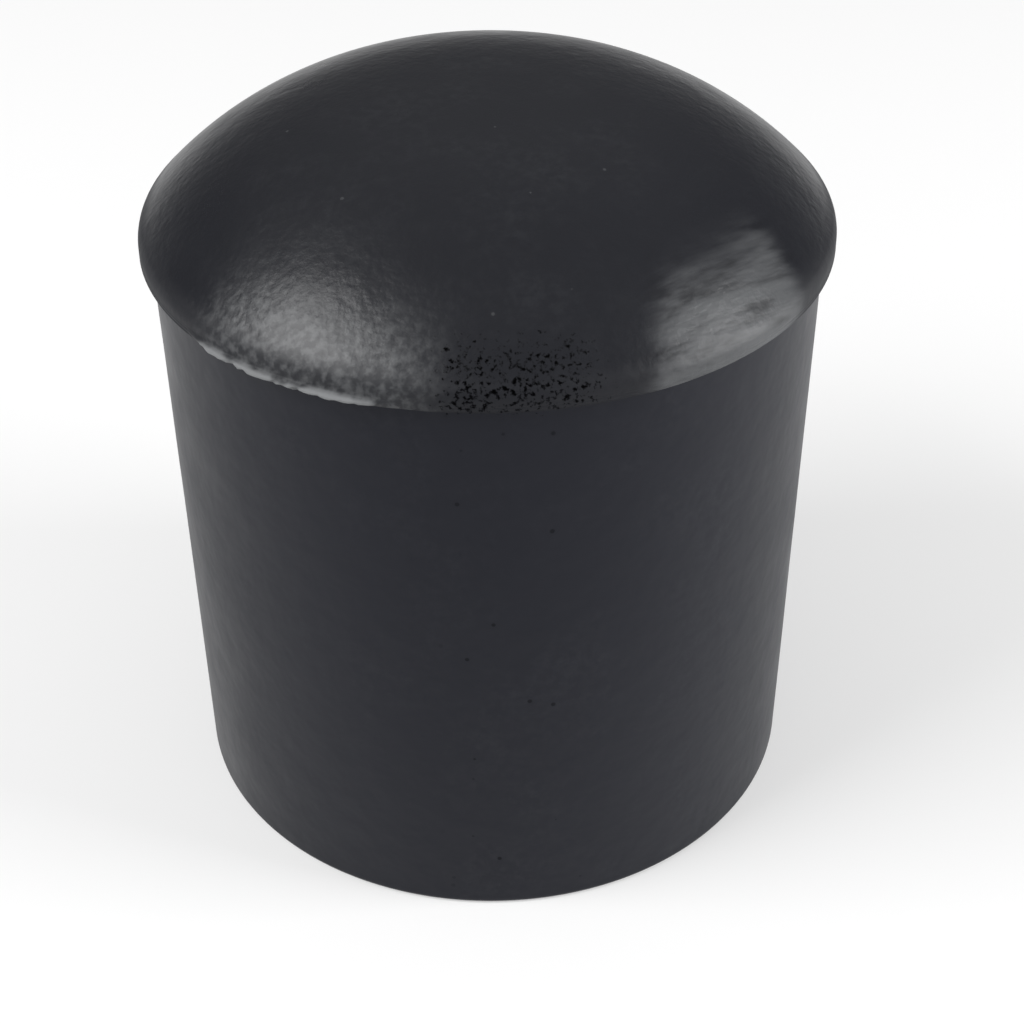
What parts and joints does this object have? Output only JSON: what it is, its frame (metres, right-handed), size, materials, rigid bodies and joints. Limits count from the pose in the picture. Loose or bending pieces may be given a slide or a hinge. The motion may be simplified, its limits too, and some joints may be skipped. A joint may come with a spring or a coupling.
{
  "type": "tube end cap",
  "caption": "One-piece black rubber end cap that pushes over the end of a round tube, with a blind bore, a flat rim and a low domed head that overhangs the body slightly.",
  "frame": {"origin": "centre of the mouth's flat rim, on which the cap stands", "axes": "+Z along the axis of the bore, from the open mouth up through the closed domed end; round about Z"},
  "size_m": [0.0282, 0.0282, 0.0315],
  "materials": {
    "black_rubber": "satin moulded black rubber"
  },
  "bodies": {
    "root": {"end_cap": "black_rubber"}
  },
  "joints": []
}
